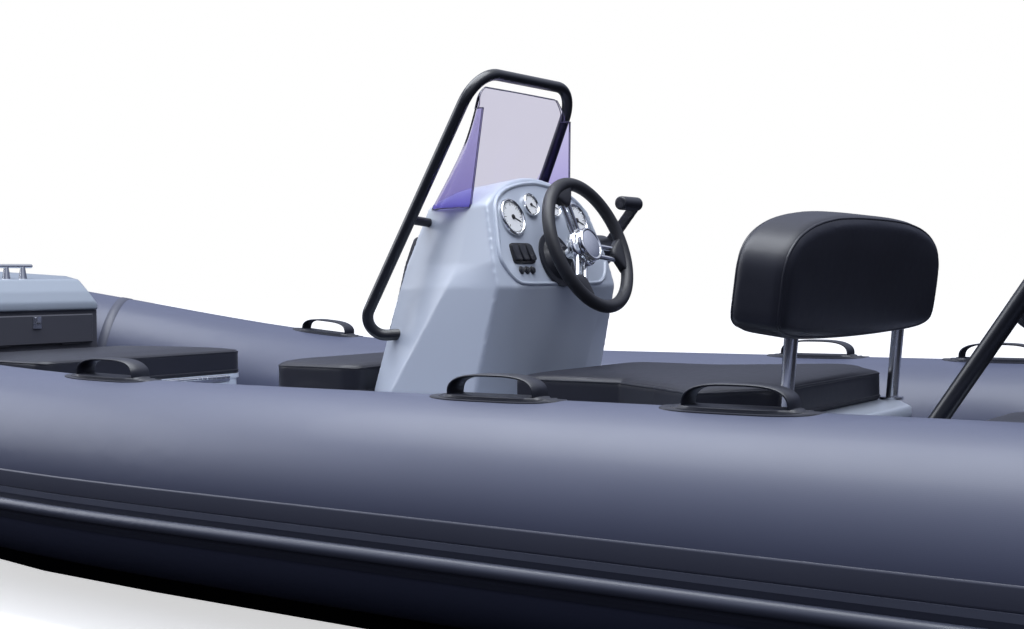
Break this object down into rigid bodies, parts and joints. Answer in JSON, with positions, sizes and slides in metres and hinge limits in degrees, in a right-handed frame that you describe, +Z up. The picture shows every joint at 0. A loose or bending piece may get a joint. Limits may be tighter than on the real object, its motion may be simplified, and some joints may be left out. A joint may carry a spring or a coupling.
{
  "type": "rigid inflatable boat",
  "caption": "Rigid inflatable boat with a graphite tube collar, vee hull, centre console, seats and a stern arch.",
  "frame": {"origin": "centreline, in the plane of the light waterline, at the transom's aft face", "axes": "+X forward, +Y to port, +Z up"},
  "size_m": [4.6009, 2.0202, 1.5],
  "materials": {
    "hull_black": "black gelcoat",
    "moulded_grey": "pale grey gelcoat",
    "tube_fabric": "graphite coated fabric",
    "trim_rubber": "black rubber",
    "dark_panel": "dark grey panel",
    "stainless": "polished stainless",
    "wheel_metal": "chromed",
    "shield_acrylic": "smoked acrylic",
    "upholstery": "black vinyl",
    "black_plastic": "black plastic",
    "dial_chrome": "chromed bezel",
    "black_tube": "black powder coat",
    "wheel_grip": "soft black grip"
  },
  "bodies": {
    "boat": {"hull": "hull_black", "sole": "moulded_grey", "transom": "moulded_grey", "collar_port": "tube_fabric", "collar_bow": "tube_fabric", "collar_starboard": "tube_fabric", "cone_caps": "trim_rubber", "rubbing_strake": "trim_rubber", "bow_step": "moulded_grey", "bow_cleat": "stainless", "bow_bulkhead": "dark_panel", "bow_locker": "moulded_grey", "front_seat_box": "moulded_grey", "windshield": "shield_acrylic", "console": "moulded_grey", "console_back_pad": "upholstery", "dash_panel": "moulded_grey", "gauges": "dial_chrome", "switch_panel": "black_plastic", "dash_buttons": "black_plastic", "helm_boot": "black_plastic", "control_box": "black_plastic", "control_lever": "black_plastic", "handrail": "black_tube", "helm_seat_base": "moulded_grey", "helm_seat_cushion": "upholstery", "backrest_posts": "stainless", "backrest_pad": "upholstery", "stern_bench": "moulded_grey", "stern_cushion": "upholstery", "stern_arch": "black_tube", "arch_pad": "upholstery", "handles_port": "trim_rubber", "handles_starboard": "trim_rubber", "valves": "black_plastic", "bow_eye": "stainless", "transom_eyes": "stainless"},
    "steering_wheel": {"wheel_rim": "wheel_grip", "wheel_hub": "wheel_metal"},
    "anchor_door": {"locker_door": "dark_panel", "door_latch": "stainless"},
    "front_lid": {"front_seat_lid": "moulded_grey", "front_seat_cushion": "upholstery"},
    "bow_hatch": {"bow_lid": "moulded_grey", "bow_cushion": "upholstery"}
  },
  "joints": [
    {"name": "steering", "type": "hinge", "parent": "boat", "child": "steering_wheel", "pos_m": [1.32, 0, 0.835], "axis": [-0.9397, 0, 0.342], "range_deg": [-540, 540]},
    {"name": "anchor_door_hinge", "type": "hinge", "parent": "boat", "child": "anchor_door", "pos_m": [3.4567, 0, 0.552], "axis": [0, -1, 0], "range_deg": [0, 75]},
    {"name": "front_lid_hinge", "type": "hinge", "parent": "boat", "child": "front_lid", "pos_m": [2.134, 0, 0.4573], "axis": [0, 1, 0], "range_deg": [0, 95]},
    {"name": "bow_hatch_hinge", "type": "hinge", "parent": "boat", "child": "bow_hatch", "pos_m": [2.889, 0, 0.446], "axis": [0, -1, 0], "range_deg": [0, 80]}
  ]
}
